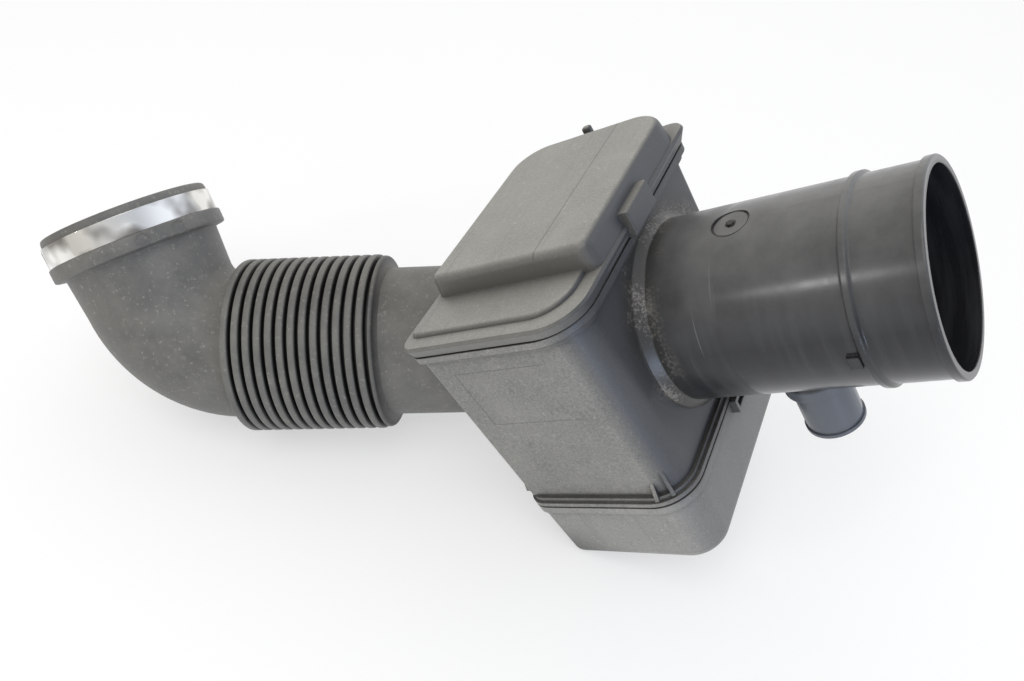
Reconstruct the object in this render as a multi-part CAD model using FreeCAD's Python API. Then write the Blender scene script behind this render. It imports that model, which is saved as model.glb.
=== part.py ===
import FreeCAD, Part
import math
import os
from FreeCAD import Placement, Rotation, Vector

# Air intake duct: a rubber bellows hose clamped at its mouth, pushed on a moulded expansion box
# that has a welded cover above and below, a large inlet pipe and a breather spigot.
# The duct's own frame has its origin at the centre of the pipe's rim, +X out of the pipe and +Z
# towards the top cover. At the end the whole duct is laid down as it comes to rest on a table.
# Lengths are in millimetres and angles in degrees.

# Inlet pipe
PIPE_R = 45.0
PIPE_WALL = 2.5
PIPE_LENGTH = 122.0
ROOT_FLARE = 4.0
RIM_CHAMFER = 0.6
LIP_R = 46.2
LIP_WIDTH = 3.0
BEAD_R = 46.6
BEAD_WIDTH = 4.4
BEAD_FLANK = 1.0
BEAD_SETBACK = 27.5
LUG_WIDTH = 7.0
LUG_LENGTH = 5.0
LUG_TURN = 187.0
GATE_R = 8.5
GATE_SINK = 0.9
GATE_SETBACK = 79.4
GATE_TURN = 93.8
PIP_R = 1.8
PIP_HEIGHT = 0.8

# Breather spigot under the pipe
SPIGOT_SETBACK = 74.0
SPIGOT_R = 14.2
SPIGOT_WALL = 2.0
SPIGOT_REACH = 82.0
SPIGOT_LIP_R = 15.0
SPIGOT_LIP_WIDTH = 2.8
SPIGOT_LIP_LAND = 2.0
BOSS_R = 17.0
BOSS_REACH = 54.5

# Expansion box, between its two weld flanges
BOX_WIDTH = 91.0
BOX_FRONT = 80.0
BOX_BACK = 61.0
BOX_TOP = 51.5
BOX_BOTTOM = 53.0
BOX_WALL = 2.5
FRONT_TAPER = 6.0
BACK_TAPER = 3.0
RIGHT_TAPER = 2.0
LEFT_SPREAD = 1.5
FRONT_RIGHT_R = 18.0
FRONT_LEFT_R = 2.0
BACK_RIGHT_R = 6.0
BACK_LEFT_R = 10.0
RIM_FRONT_LEFT_R = 8.0
GUSSET_HEIGHTS = (16.0, 9.0)
SIDE_GUSSET_HEIGHT = 15.0
GUSSET_DEPTH = 5.0
GUSSET_THICK = 2.0
GUSSET_TURNS = (-52.0, -74.0)
LEAST_CORNER_R = 0.8

# Weld flanges: a narrow step, a wide step and a dark joint groove below the cover's rim
STEP_OUT = 3.0
STEP_HEIGHT = 3.5
FLANGE_OUT = 6.0
FLANGE_HEIGHT = 3.5
FLANGE_LEFT_OUT = 1.0
GROOVE_OUT = 4.0
GROOVE_HEIGHT = 1.0
LOW_STEP_OUT = 2.0
LOW_STEP_HEIGHT = 2.5
LOW_FLANGE_OUT = 3.5
LOW_FLANGE_HEIGHT = 2.5

# Top cover, raised over most of its length, with a lower shelf along the front
COVER_WALL = 2.5
RIM_OUT = 9.0
RIM_HEIGHT = 6.5
RIM_EDGE = 1.6
SHELF_HEIGHT = 9.5
SHELF_DEPTH = 26.0
SHELF_LEFT_IN = 3.0
SHELF_EDGE_R = 2.0
CROWN_HEIGHT = 20.5
CROWN_RIGHT_OUT = 7.5
CROWN_LEFT_IN = 4.0
CROWN_BACK_OUT = 2.5
CROWN_LEAN = 2.0
CROWN_EDGE_R = 4.0
CROWN_FRONT_R = 6.0
CROWN_BACK_R = 20.0

# Bottom cover
SUMP_DEPTH = 46.5
SUMP_OUT = 1.5
SUMP_LEAN = 1.5
SUMP_EDGE_R = 7.0
SUMP_RIM_HEIGHT = 4.5

# Snap clips on the covers' rims
CLIP_WIDTH = 26.0
CLIP_HEIGHT = 12.5
CLIP_THICK = 6.5
CLIP_BAR = 2.2
CLIP_RECESS = 3.0
CLIP_SHIFT = -9.0
BACK_CLIP_WIDTH = 9.0
BACK_CLIP_THICK = 11.0
BACK_CLIP_SHIFT = -4.5
LOW_CLIP_WIDTH = 14.0
LOW_CLIP_HEIGHT = 8.0
LOW_CLIP_THICK = 5.0

# Rubber hose: cuff on the box's stub, a slight bend, bellows, elbow, neck and mouth
HOSE_R = 43.2
HOSE_WALL = 3.0
HOSE_SEAT = 0.1
HOSE_END_GAP = 0.5
STUB_LENGTH = 12.0
STUB_WALL = 2.5
CUFF_LENGTH = 11.5
HOSE_SWING = 24.1
HOSE_RISE = 25.3
BEND_R = 65.0
BEND_TO_BELLOWS = 39.5
CREST_R = 51.3
GROOVE_R = 45.8
CREST_WIDTH = 3.9
BELLOWS_PITCH = 6.3
GROOVES = 13
END_CREST_FLANK = 1.3
BELLOWS_WALL = 2.4
ELBOW_R = 52.0
ELBOW_TURN = 71.4
ELBOW_ROLL = 20.1
ELBOW_LEAD = 4.5
NECK_LENGTH = 49.5
NECK_R = 44.6
COLLAR_R = 50.4
COLLAR_WIDTH = 9.0
COLLAR_CHAMFER = 1.5
MOUTH_R = 48.2
MOUTH_TIP_R = 47.5
MOUTH_WALL = 3.4
MOUTH_DEPTH = 22.0

# Band clamp on the mouth, closed by a low buckle
BAND_WIDTH = 12.0
BAND_THICK = 0.9
BAND_SEAT = 0.1
BAND_SETBACK = 4.6
BUCKLE_TURN = 8.0
BUCKLE_SPAN = 22.0
BUCKLE_THICK = 2.3
BUCKLE_EDGE_R = 0.8

# How finely the resting tilt is solved and places are compared
TILT_STEPS = 40
SAME_PLACE = 1e-6

X_AXIS = Vector(1, 0, 0)
Y_AXIS = Vector(0, 1, 0)
Z_AXIS = Vector(0, 0, 1)
ORIGIN = Vector(0, 0, 0)


class Plan:
    """A rounded four-sided outline, seen from above, at one height."""

    def __init__(self, left, right, front, back, corners):
        self.left, self.right, self.front, self.back = left, right, front, back
        self.corners = corners

    def grown(self, out, left_out=None):
        """The same outline moved outwards, by another amount on the left if that is given."""
        left_out = out if left_out is None else left_out
        growth = [left_out, out, out, left_out]
        corners = [max(r + more, LEAST_CORNER_R) for r, more in zip(self.corners, growth)]
        return Plan(self.left - left_out, self.right + out, self.front - out, self.back + out, corners)

    def spots(self, height):
        """The four corners before rounding, from the front left round to the back left."""
        return [Vector(self.left, self.front, height), Vector(self.right, self.front, height),
                Vector(self.right, self.back, height), Vector(self.left, self.back, height)]

    def block(self, bottom, top, upper=None):
        """The outline drawn up from one height to another, to a second outline if one is given."""
        low = self.spots(bottom)
        high = (upper or self).spots(top)
        rings = [low[::-1], high]
        for a, b in zip(range(4), (1, 2, 3, 0)):
            rings.append([low[a], low[b], high[b], high[a]])
        sides = [Part.Face(Part.makePolygon(ring + ring[:1])) for ring in rings]
        solid = Part.Solid(Part.Shell(sides))
        for radius, foot, head in zip(self.corners, low, high):
            upright = [edge for edge in solid.Edges if edge.distToShape(Part.Vertex(foot))[0] < SAME_PLACE
                       and edge.distToShape(Part.Vertex(head))[0] < SAME_PLACE]
            solid = solid.makeFillet(radius, upright)
        return solid


def turned(points):
    """A solid turned about Z from corners given as radius and height."""
    corners = [Vector(r, 0, z) for r, z in points]
    return Part.Face(Part.makePolygon(corners + corners[:1])).revolve(ORIGIN, Z_AXIS, 360)


def facing(direction, side=None):
    """The rotation that takes Z to a direction, and X as near as can be to a side."""
    side = side or (X_AXIS if abs(direction.x) < 0.9 else Z_AXIS)
    across = direction.cross(side).normalize()
    return Rotation(across.cross(direction), across, direction, "ZXY")


def placed(shape, origin, direction, side=None):
    """A solid made along Z, moved to an origin and turned to a direction."""
    moved = shape.copy()
    moved.Placement = Placement(origin, facing(direction, side)).multiply(moved.Placement)
    return moved


def edges_at(shape, height):
    """The edges of a block that lie at one height."""
    return [edge for edge in shape.Edges
            if all(abs(v.Point.z - height) < SAME_PLACE for v in edge.Vertexes)]


# Places that several pieces share
BOX_RIGHT_X = -PIPE_LENGTH
BOX_LEFT_X = BOX_RIGHT_X - BOX_WIDTH
WALL_CORNERS = [FRONT_LEFT_R, FRONT_RIGHT_R, BACK_RIGHT_R, BACK_LEFT_R]
RIM_CORNERS = [RIM_FRONT_LEFT_R] + WALL_CORNERS[1:]
TOP_SIDES = (BOX_LEFT_X, BOX_RIGHT_X, -BOX_FRONT, BOX_BACK)
LOW_SIDES = (BOX_LEFT_X - LEFT_SPREAD, BOX_RIGHT_X - RIGHT_TAPER, -BOX_FRONT + FRONT_TAPER,
             BOX_BACK - BACK_TAPER)
TOP_PLAN = Plan(*TOP_SIDES, WALL_CORNERS)
LOW_PLAN = Plan(*LOW_SIDES, WALL_CORNERS)
TOP_RIM = Plan(*TOP_SIDES, RIM_CORNERS)
LOW_RIM = Plan(*LOW_SIDES, RIM_CORNERS)
BOX_MIDDLE_X = (BOX_LEFT_X + BOX_RIGHT_X) / 2
TOP_JOINT = BOX_TOP + STEP_HEIGHT + FLANGE_HEIGHT
LOW_JOINT = -BOX_BOTTOM - LOW_STEP_HEIGHT - LOW_FLANGE_HEIGHT
STUB_R = HOSE_R - HOSE_WALL - HOSE_SEAT


def arc_end(start, heading, towards, radius, turn):
    """Where a bend that starts along one heading ends, and the heading there."""
    angle = math.radians(turn)
    end = start + heading * (radius * math.sin(angle)) + towards * (radius * (1 - math.cos(angle)))
    return end, heading * math.cos(angle) + towards * math.sin(angle)


def hose_route():
    """The hose's centre line: the start, heading and bending side of each of its stretches, and the
    side on which its stretches' seams run into one another."""
    swing, rise = math.radians(HOSE_SWING), math.radians(HOSE_RISE)
    first = X_AXIS * -1
    second = Vector(-math.cos(swing) * math.cos(rise), -math.sin(swing) * math.cos(rise), math.sin(rise))
    bend_turn = math.degrees(first.getAngle(second))
    bend_side = (second - first * first.dot(second)).normalize()
    seam = first.cross(second).normalize()
    cuff = Vector(LOW_PLAN.left - HOSE_END_GAP, 0, 0)
    bend = cuff + first * CUFF_LENGTH
    run, heading = arc_end(bend, first, bend_side, BEND_R, bend_turn)
    bellows = run + heading * BEND_TO_BELLOWS
    elbow = bellows + heading * (GROOVES * BELLOWS_PITCH + CREST_WIDTH + ELBOW_LEAD)
    up = (Z_AXIS - heading * heading.z).normalize()
    elbow_side = Rotation(heading, ELBOW_ROLL).multVec(up)
    neck, mouth_heading = arc_end(elbow, heading, elbow_side, ELBOW_R, ELBOW_TURN)
    neck_seam = Rotation(heading.cross(elbow_side), ELBOW_TURN).multVec(seam)
    return {"cuff": cuff, "first": first, "bend": bend, "bend_side": bend_side, "bend_turn": bend_turn,
            "run": run, "heading": heading, "bellows": bellows, "elbow": elbow,
            "elbow_side": elbow_side, "neck": neck, "mouth_heading": mouth_heading, "seam": seam,
            "neck_seam": neck_seam}


ROUTE = hose_route()


def bent_tube(start, heading, towards, radius, turn):
    """A stretch of the hose bent round an arc."""
    outer, inner = [Part.Face(Part.Wire(Part.makeCircle(r))) for r in (HOSE_R, HOSE_R - HOSE_WALL)]
    ring = placed(outer.cut(inner), start, heading, ROUTE["seam"]).Faces[0]
    return ring.revolve(start + towards * radius, heading.cross(towards), turn)


def bellows_tube():
    """The ribbed stretch: crests at one pitch with narrow grooves between, and the lead to the elbow."""
    bore = HOSE_R - HOSE_WALL
    wide_bore = GROOVE_R - BELLOWS_WALL
    length = GROOVES * BELLOWS_PITCH + CREST_WIDTH
    outline = [(bore, 0), (HOSE_R, 0), (CREST_R, END_CREST_FLANK)]
    for number in range(GROOVES):
        crest_end = number * BELLOWS_PITCH + CREST_WIDTH
        next_crest = (number + 1) * BELLOWS_PITCH
        outline += [(CREST_R, crest_end), (GROOVE_R, crest_end), (GROOVE_R, next_crest),
                    (CREST_R, next_crest)]
    outline += [(CREST_R, length), (HOSE_R, length + END_CREST_FLANK), (HOSE_R, length + ELBOW_LEAD),
                (bore, length + ELBOW_LEAD), (wide_bore, length), (wide_bore, CREST_WIDTH)]
    return turned(outline)


def neck_tube():
    """The neck and mouth: a slight cone, a collar and the seat of the clamp band."""
    bore = HOSE_R - HOSE_WALL
    seat = NECK_LENGTH - BAND_SETBACK - BAND_WIDTH - BAND_SEAT
    collar = seat - COLLAR_WIDTH
    socket = MOUTH_R - MOUTH_WALL
    slope = socket - bore
    return turned([
        (HOSE_R, 0), (NECK_R, collar), (COLLAR_R - COLLAR_CHAMFER, collar),
        (COLLAR_R, collar + COLLAR_CHAMFER), (COLLAR_R, seat), (MOUTH_R, seat),
        (MOUTH_R, NECK_LENGTH - BAND_SETBACK / 2), (MOUTH_TIP_R, NECK_LENGTH), (socket, NECK_LENGTH),
        (socket, NECK_LENGTH - MOUTH_DEPTH), (bore, NECK_LENGTH - MOUTH_DEPTH - slope), (bore, 0)])


def rubber_hose():
    """One rubber moulding, from the cuff on the box's stub to the clamped mouth."""
    bore = HOSE_R - HOSE_WALL
    straight = [(bore, 0), (HOSE_R, 0)]
    cuff = turned(straight + [(HOSE_R, CUFF_LENGTH), (bore, CUFF_LENGTH)])
    run = turned(straight + [(HOSE_R, BEND_TO_BELLOWS), (bore, BEND_TO_BELLOWS)])
    stretches = [
        bent_tube(ROUTE["bend"], ROUTE["first"], ROUTE["bend_side"], BEND_R, ROUTE["bend_turn"]),
        placed(run, ROUTE["run"], ROUTE["heading"], ROUTE["seam"]),
        placed(bellows_tube(), ROUTE["bellows"], ROUTE["heading"], ROUTE["seam"]),
        bent_tube(ROUTE["elbow"], ROUTE["heading"], ROUTE["elbow_side"], ELBOW_R, ELBOW_TURN),
        placed(neck_tube(), ROUTE["neck"], ROUTE["mouth_heading"], ROUTE["neck_seam"])]
    return placed(cuff, ROUTE["cuff"], ROUTE["first"], ROUTE["seam"]).multiFuse(stretches)


def clamp_places():
    """The middle of the clamp band, the mouth's heading, and the side where its buckle sits."""
    heading = ROUTE["mouth_heading"]
    middle = ROUTE["neck"] + heading * (NECK_LENGTH - BAND_SETBACK - BAND_WIDTH / 2)
    outside = (ROUTE["heading"] - heading * heading.dot(ROUTE["heading"])).normalize()
    return middle, heading, Rotation(heading, BUCKLE_TURN).multVec(outside)


def strip(inner, thick):
    """The section of a flat strip as wide as the band, standing at +X."""
    half = BAND_WIDTH / 2
    corners = [Vector(inner, 0, -half), Vector(inner + thick, 0, -half), Vector(inner + thick, 0, half),
               Vector(inner, 0, half)]
    return Part.Face(Part.makePolygon(corners + corners[:1]))


def clamp_band():
    """A flat steel strip closed round the mouth."""
    return placed(strip(MOUTH_R + BAND_SEAT, BAND_THICK).revolve(ORIGIN, Z_AXIS, 360), *clamp_places())


def clamp_buckle():
    """The low steel buckle that locks the band's ends, curved to lie on it."""
    inner = MOUTH_R + BAND_SEAT * 2 + BAND_THICK
    buckle = strip(inner, BUCKLE_THICK).revolve(ORIGIN, Z_AXIS, BUCKLE_SPAN)
    buckle.rotate(ORIGIN, Z_AXIS, -BUCKLE_SPAN / 2)
    outer = [edge for edge in buckle.Edges
             if all(math.hypot(v.Point.x, v.Point.y) > inner + BUCKLE_THICK / 2 for v in edge.Vertexes)]
    return placed(buckle.makeFillet(BUCKLE_EDGE_R, outer), *clamp_places())


def pipe_outside():
    """The inlet pipe's outer form, turned about its axis, with bead, sleeve and end lip."""
    bead_front = -BEAD_SETBACK
    bead_back = bead_front - BEAD_WIDTH
    lip_back = -RIM_CHAMFER - LIP_WIDTH
    root = BOX_RIGHT_X - BOX_WALL
    return placed(turned([
        (0, root), (PIPE_R + ROOT_FLARE, root), (PIPE_R + ROOT_FLARE, BOX_RIGHT_X),
        (PIPE_R, BOX_RIGHT_X + ROOT_FLARE), (PIPE_R, bead_back), (BEAD_R, bead_back + BEAD_FLANK),
        (BEAD_R, bead_front - BEAD_FLANK), (PIPE_R, bead_front), (PIPE_R, lip_back), (LIP_R, lip_back),
        (LIP_R, -RIM_CHAMFER), (LIP_R - RIM_CHAMFER, 0), (0, 0)]), ORIGIN, X_AXIS, Z_AXIS)


def locating_lug():
    """The small square lug behind the pipe's bead."""
    lug = Part.makeBox(BEAD_R - PIPE_R + PIPE_WALL / 2, LUG_WIDTH, LUG_LENGTH)
    lug.translate(Vector(PIPE_R - PIPE_WALL / 2, -LUG_WIDTH / 2, -BEAD_SETBACK - BEAD_WIDTH - LUG_LENGTH))
    lug.rotate(ORIGIN, Z_AXIS, LUG_TURN)
    return placed(lug, ORIGIN, X_AXIS, Y_AXIS)


def gate_places():
    """Where the moulding's gate mark lies on the pipe, and which way it faces."""
    turn = math.radians(GATE_TURN)
    outward = Vector(0, math.cos(turn), math.sin(turn))
    return Vector(-GATE_SETBACK, 0, 0) + outward * (PIPE_R - GATE_SINK), outward


def breather_outside():
    """The boss under the pipe and the lipped spigot that comes down from it."""
    lip = SPIGOT_REACH - SPIGOT_LIP_WIDTH
    return placed(turned([
        (0, 0), (BOSS_R, 0), (BOSS_R, BOSS_REACH), (SPIGOT_R, BOSS_REACH), (SPIGOT_R, lip),
        (SPIGOT_LIP_R, lip), (SPIGOT_LIP_R, lip + SPIGOT_LIP_LAND), (SPIGOT_R, SPIGOT_REACH),
        (0, SPIGOT_REACH)]), Vector(-SPIGOT_SETBACK, 0, 0), Z_AXIS * -1)


def gusset(corner, outward, height):
    """A triangular fin that stiffens the lower flange, standing on it against the wall."""
    foot = Vector(corner.x, corner.y, -BOX_BOTTOM)
    outline = [foot - outward * BOX_WALL, foot + outward * GUSSET_DEPTH, foot + Z_AXIS * height,
               foot + Z_AXIS * height - outward * BOX_WALL]
    thickness = Z_AXIS.cross(outward) * GUSSET_THICK
    fin = Part.Face(Part.makePolygon(outline + outline[:1])).extrude(thickness)
    return fin.translate(thickness * -0.5)


def duct_body():
    """One moulding: the open box, its flanges and catches, the inlet pipe, stub and breather."""
    wall = LOW_PLAN.block(-BOX_BOTTOM, BOX_TOP, TOP_PLAN)
    top_step = TOP_RIM.grown(STEP_OUT, FLANGE_LEFT_OUT).block(BOX_TOP, BOX_TOP + STEP_HEIGHT)
    top_flange = TOP_RIM.grown(FLANGE_OUT, FLANGE_LEFT_OUT).block(BOX_TOP + STEP_HEIGHT, TOP_JOINT)
    low_step = LOW_RIM.grown(LOW_STEP_OUT).block(-BOX_BOTTOM - LOW_STEP_HEIGHT, -BOX_BOTTOM)
    low_flange = LOW_RIM.grown(LOW_FLANGE_OUT).block(LOW_JOINT, -BOX_BOTTOM - LOW_STEP_HEIGHT)
    gate, gate_faces = gate_places()
    stub = Part.makeCylinder(STUB_R, STUB_LENGTH + BOX_WALL, Vector(BOX_LEFT_X + BOX_WALL, 0, 0),
                             X_AXIS * -1)
    corner = Vector(LOW_PLAN.right - FRONT_RIGHT_R, LOW_PLAN.front + FRONT_RIGHT_R)
    fins = []
    for turn, height in zip(GUSSET_TURNS, GUSSET_HEIGHTS):
        outward = Vector(math.cos(math.radians(turn)), math.sin(math.radians(turn)), 0)
        fins.append(gusset(corner + outward * FRONT_RIGHT_R, outward, height))
    fins.append(gusset(Vector(LOW_PLAN.left, LOW_PLAN.front + FRONT_LEFT_R + GUSSET_THICK), X_AXIS * -1,
                       SIDE_GUSSET_HEIGHT))
    outside = wall.multiFuse([top_step, top_flange, low_step, low_flange, pipe_outside(), locating_lug(),
                              breather_outside(), stub] + fins)
    room = LOW_PLAN.grown(-BOX_WALL).block(LOW_JOINT, TOP_JOINT, TOP_PLAN.grown(-BOX_WALL))
    pipe_bore = Part.makeCylinder(PIPE_R - PIPE_WALL, PIPE_LENGTH + BOX_WALL * 3, ORIGIN, X_AXIS * -1)
    stub_bore = Part.makeCylinder(STUB_R - STUB_WALL, STUB_LENGTH + BOX_WALL * 3,
                                  Vector(BOX_LEFT_X + BOX_WALL * 2, 0, 0), X_AXIS * -1)
    spigot_bore = Part.makeCylinder(SPIGOT_R - SPIGOT_WALL, SPIGOT_REACH, Vector(-SPIGOT_SETBACK, 0, 0),
                                    Z_AXIS * -1)
    gate_flat = Part.makeCylinder(GATE_R, PIPE_R, gate, gate_faces)
    pip = Part.makeCylinder(PIP_R, PIP_HEIGHT, gate, gate_faces)
    return outside.cut([room, pipe_bore, stub_bore, spigot_bore, gate_flat]).fuse(pip)


def clip(width, height, thick):
    """A snap clip: a plate that stands up from zero, its back at zero and its recess facing +X."""
    plate = Part.makeBox(thick, width, height, Vector(0, -width / 2, 0))
    recess = Part.makeBox(CLIP_RECESS, width - CLIP_BAR * 2, height - CLIP_BAR * 2,
                          Vector(thick - CLIP_RECESS, CLIP_BAR - width / 2, CLIP_BAR))
    return plate.cut(recess)


def top_cover():
    """The upper cover: a rim welded on the top flange, a low front shelf and a raised crown."""
    rim_foot = TOP_JOINT + GROOVE_HEIGHT
    rim_top = rim_foot + RIM_HEIGHT
    weld = TOP_RIM.grown(GROOVE_OUT, 0).block(TOP_JOINT, rim_foot)
    rim = TOP_RIM.grown(FLANGE_OUT, FLANGE_LEFT_OUT).block(
        rim_foot, rim_top, TOP_RIM.grown(RIM_OUT, FLANGE_LEFT_OUT))
    rim = rim.makeChamfer(RIM_EDGE, edges_at(rim, rim_top))
    shelf_top = TOP_JOINT + SHELF_HEIGHT
    shelf_plan = TOP_RIM.grown(0, -SHELF_LEFT_IN)
    shelf = shelf_plan.block(rim_foot, shelf_top)
    shelf = shelf.makeFillet(SHELF_EDGE_R, edges_at(shelf, shelf_top))
    crown_top = TOP_JOINT + CROWN_HEIGHT
    foot = Plan(BOX_LEFT_X + CROWN_LEFT_IN, BOX_RIGHT_X + CROWN_RIGHT_OUT, -BOX_FRONT + SHELF_DEPTH,
                BOX_BACK + CROWN_BACK_OUT, [CROWN_FRONT_R, CROWN_FRONT_R, CROWN_BACK_R, CROWN_BACK_R])
    head = foot.grown(-CROWN_LEAN)
    crown = foot.block(rim_foot + RIM_EDGE, crown_top, head)
    crown = crown.makeFillet(CROWN_EDGE_R, edges_at(crown, crown_top))
    right_clip = clip(CLIP_WIDTH, CLIP_HEIGHT, CLIP_THICK)
    right_clip.translate(Vector(BOX_RIGHT_X + GROOVE_OUT, CLIP_SHIFT, rim_foot))
    back_clip = clip(BACK_CLIP_WIDTH, CLIP_HEIGHT, BACK_CLIP_THICK)
    back_clip.rotate(ORIGIN, Z_AXIS, 90)
    back_clip.translate(Vector(BOX_MIDDLE_X + BACK_CLIP_SHIFT, BOX_BACK + GROOVE_OUT, rim_foot))
    outside = weld.multiFuse([rim, shelf, crown, right_clip, back_clip])
    shelf_room = shelf_plan.grown(-COVER_WALL).block(TOP_JOINT, shelf_top - COVER_WALL)
    crown_room = foot.grown(-COVER_WALL).block(rim_foot + COVER_WALL, crown_top - COVER_WALL,
                                               head.grown(-COVER_WALL))
    return outside.cut([shelf_room, crown_room])


def bottom_cover():
    """The lower cover: a deep tray welded under the bottom flange."""
    rim_foot = LOW_JOINT - GROOVE_HEIGHT
    weld = LOW_RIM.grown(LOW_STEP_OUT).block(rim_foot, LOW_JOINT)
    rim = LOW_RIM.grown(LOW_FLANGE_OUT).block(rim_foot - SUMP_RIM_HEIGHT, rim_foot)
    floor = LOW_JOINT - SUMP_DEPTH
    upper = LOW_RIM.grown(SUMP_OUT)
    lower = upper.grown(-SUMP_LEAN)
    tray = lower.block(floor, rim_foot - SUMP_RIM_HEIGHT, upper)
    tray = tray.makeFillet(SUMP_EDGE_R, edges_at(tray, floor))
    hook = clip(LOW_CLIP_WIDTH, LOW_CLIP_HEIGHT, LOW_CLIP_THICK)
    hook.translate(Vector(LOW_PLAN.right + SUMP_OUT, 0, rim_foot - LOW_CLIP_HEIGHT))
    outside = weld.multiFuse([rim, tray, hook])
    room = lower.grown(-COVER_WALL).block(floor + COVER_WALL, LOW_JOINT, LOW_RIM.grown(-COVER_WALL))
    return outside.cut(room)


def resting_tilt():
    """The turn about Y at which the tray's lower left edge and the bellows share one floor."""
    last_crest = ROUTE["bellows"] + ROUTE["heading"] * (GROOVES * BELLOWS_PITCH + CREST_WIDTH)
    edge = Vector(LOW_PLAN.left - SUMP_OUT + SUMP_LEAN + SUMP_EDGE_R, 0,
                  LOW_JOINT - SUMP_DEPTH + SUMP_EDGE_R)

    def hose_below_box(angle):
        up = Vector(math.sin(angle), 0, math.cos(angle))
        slope = ROUTE["heading"].dot(up)
        hose = last_crest.dot(up) - CREST_R * math.sqrt(1 - slope * slope)
        return edge.dot(up) - SUMP_EDGE_R - hose

    low, high = 0.0, math.pi / 2
    for _ in range(TILT_STEPS):
        middle = (low + high) / 2
        if hose_below_box(middle) > 0:
            high = middle
        else:
            low = middle
    return math.degrees((low + high) / 2)


def main():
    nodes = {
        "rubber_hose": rubber_hose(),
        "clamp_band": clamp_band(),
        "clamp_buckle": clamp_buckle(),
        "duct_body": duct_body(),
        "top_cover": top_cover(),
        "bottom_cover": bottom_cover(),
    }
    tilt = resting_tilt()
    for shape in nodes.values():
        shape.rotate(ORIGIN, Y_AXIS, -tilt)
    box = Part.makeCompound(list(nodes.values())).optimalBoundingBox(False, False)
    down = Vector(-box.Center.x, -box.Center.y, -box.ZMin)
    os.makedirs("parts", exist_ok=True)
    for name, shape in nodes.items():
        shape.translate(down)
        shape.exportStep("parts/" + name + ".step")
        print(name, "solids", len(shape.Solids), "valid", shape.isValid(), "volume", round(shape.Volume))
    print("tilt", round(tilt, 2), "moved", down, "size", box.XLength, box.YLength, box.ZLength)


main()
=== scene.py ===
import math

import bmesh
import bpy
from mathutils import Matrix, Vector


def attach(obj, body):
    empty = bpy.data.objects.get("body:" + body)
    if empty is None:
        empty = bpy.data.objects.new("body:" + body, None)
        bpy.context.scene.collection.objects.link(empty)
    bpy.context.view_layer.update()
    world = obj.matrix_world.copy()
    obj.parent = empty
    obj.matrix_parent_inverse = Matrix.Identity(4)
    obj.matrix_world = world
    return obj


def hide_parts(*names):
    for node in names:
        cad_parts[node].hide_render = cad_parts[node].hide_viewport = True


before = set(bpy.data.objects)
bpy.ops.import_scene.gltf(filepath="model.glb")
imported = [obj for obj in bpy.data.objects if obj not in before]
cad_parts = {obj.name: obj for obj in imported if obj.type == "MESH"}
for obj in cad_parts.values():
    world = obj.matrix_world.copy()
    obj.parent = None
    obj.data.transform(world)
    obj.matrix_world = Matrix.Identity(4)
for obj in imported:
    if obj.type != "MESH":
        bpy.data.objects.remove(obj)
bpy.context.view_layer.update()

# Duct body: one injection moulding of black polypropylene with the expansion box, its weld
# flanges, the inlet pipe, the hose stub and the breather spigot. The solid itself shows. The box
# walls come grained from the mould and hold dust; the pipe is smooth, darker and glossier.
# The duct's own axes start at the middle of the pipe's rim, with X along the pipe. This is where the
# rim lies, and how far the pipe tilts up, once the duct has come to rest on the floor.
RIM_CENTRE = Vector((0.220329, 0.014548, 0.203660))
RESTING_TILT = math.radians(33.8328)
LAID_DOWN = Matrix.Translation(RIM_CENTRE) @ Matrix.Rotation(-RESTING_TILT, 4, "Y")
PIPE_LENGTH = 0.122
PIPE_ROOT_R, PIPE_SKIN_R = 0.0505, 0.044
PIPE_ALONE_X = -0.108
SPIGOT_TOP_Z = -0.047
TRAY_TOP_Z, TRAY_FADE = -0.05, 0.012
SOFT_EDGE = 0.0005
BOX_GREY = "#656460"
BOX_DUST = "#787670"
RUBBED_GREY = "#626260"
GRAIN_GREY = "#a4a29c"
SPECK = "#bcb9b1"
CORNER_PAINTED_SHADE = "#222120"
LINE_GREY = "#3d3c3a"
PIPE_BLACK = "#1c1d1f"
PIPE_SCUFF = "#353638"
GRIME = "#98928a"
PIPE_SIDE_PAINTED_SHADE = "#33353a"
SPIGOT_PAINTED_REFLECTION = "#5a5e65"
PIPE_DUST_AND_SHEEN = "#686867"
SCRATCH = "#777775"
GATE_DIRT = "#0f0f10"
ROOT_PAINTED_SHADE = "#2f2e2a"
DULL_LENGTH = 0.0375
SHEEN_LOW_Z, SHEEN_HIGH_Z = 0.006, 0.046
GATE_PLACE, GATE_R = (-0.0794, -0.0029, 0.0440), 0.0085
GATE_RIM_INSET, GATE_RIM_HALF, GATE_DIMPLE_R = 0.0002, 0.0006, 0.0026
ROOT_SHADE_AND_GRIME_REACH, ROOT_SHADE_AND_GRIME_FULL, ROOT_WALL_SKIN = 0.014, 0.002, 0.0015
ROOT_SHADE_R, ROOT_SHADE_FULL_R = 0.063, 0.052
GRIME_R, GRIME_FULL_R = 0.062, 0.050
PANEL_MIDDLE_X, PANEL_HALF_X = -0.174, 0.0265
PANEL_MIDDLE_Z, PANEL_HALF_Z = 0.0228, 0.0185
PANEL_FACE_Y, PANEL_FACE_FADE = -0.070, 0.002
PANEL_LINE, PANEL_LEFT_LINE = 0.0007, 0.001
PANEL_OPEN_SHIFT = 0.005
PLASTIC_IOR = 1.49
PLASTIC_EDGE_R = 0.0009
GRAIN_DEPTH = 0.0002


def linear(colour):
    """A colour written as sRGB hex, turned to the linear values a shader takes."""
    parts = [int(colour[i:i + 2], 16) / 255 for i in (1, 3, 5)]
    return [p / 12.92 if p <= 0.04045 else ((p + 0.055) / 1.055) ** 2.4 for p in parts] + [1.0]


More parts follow.
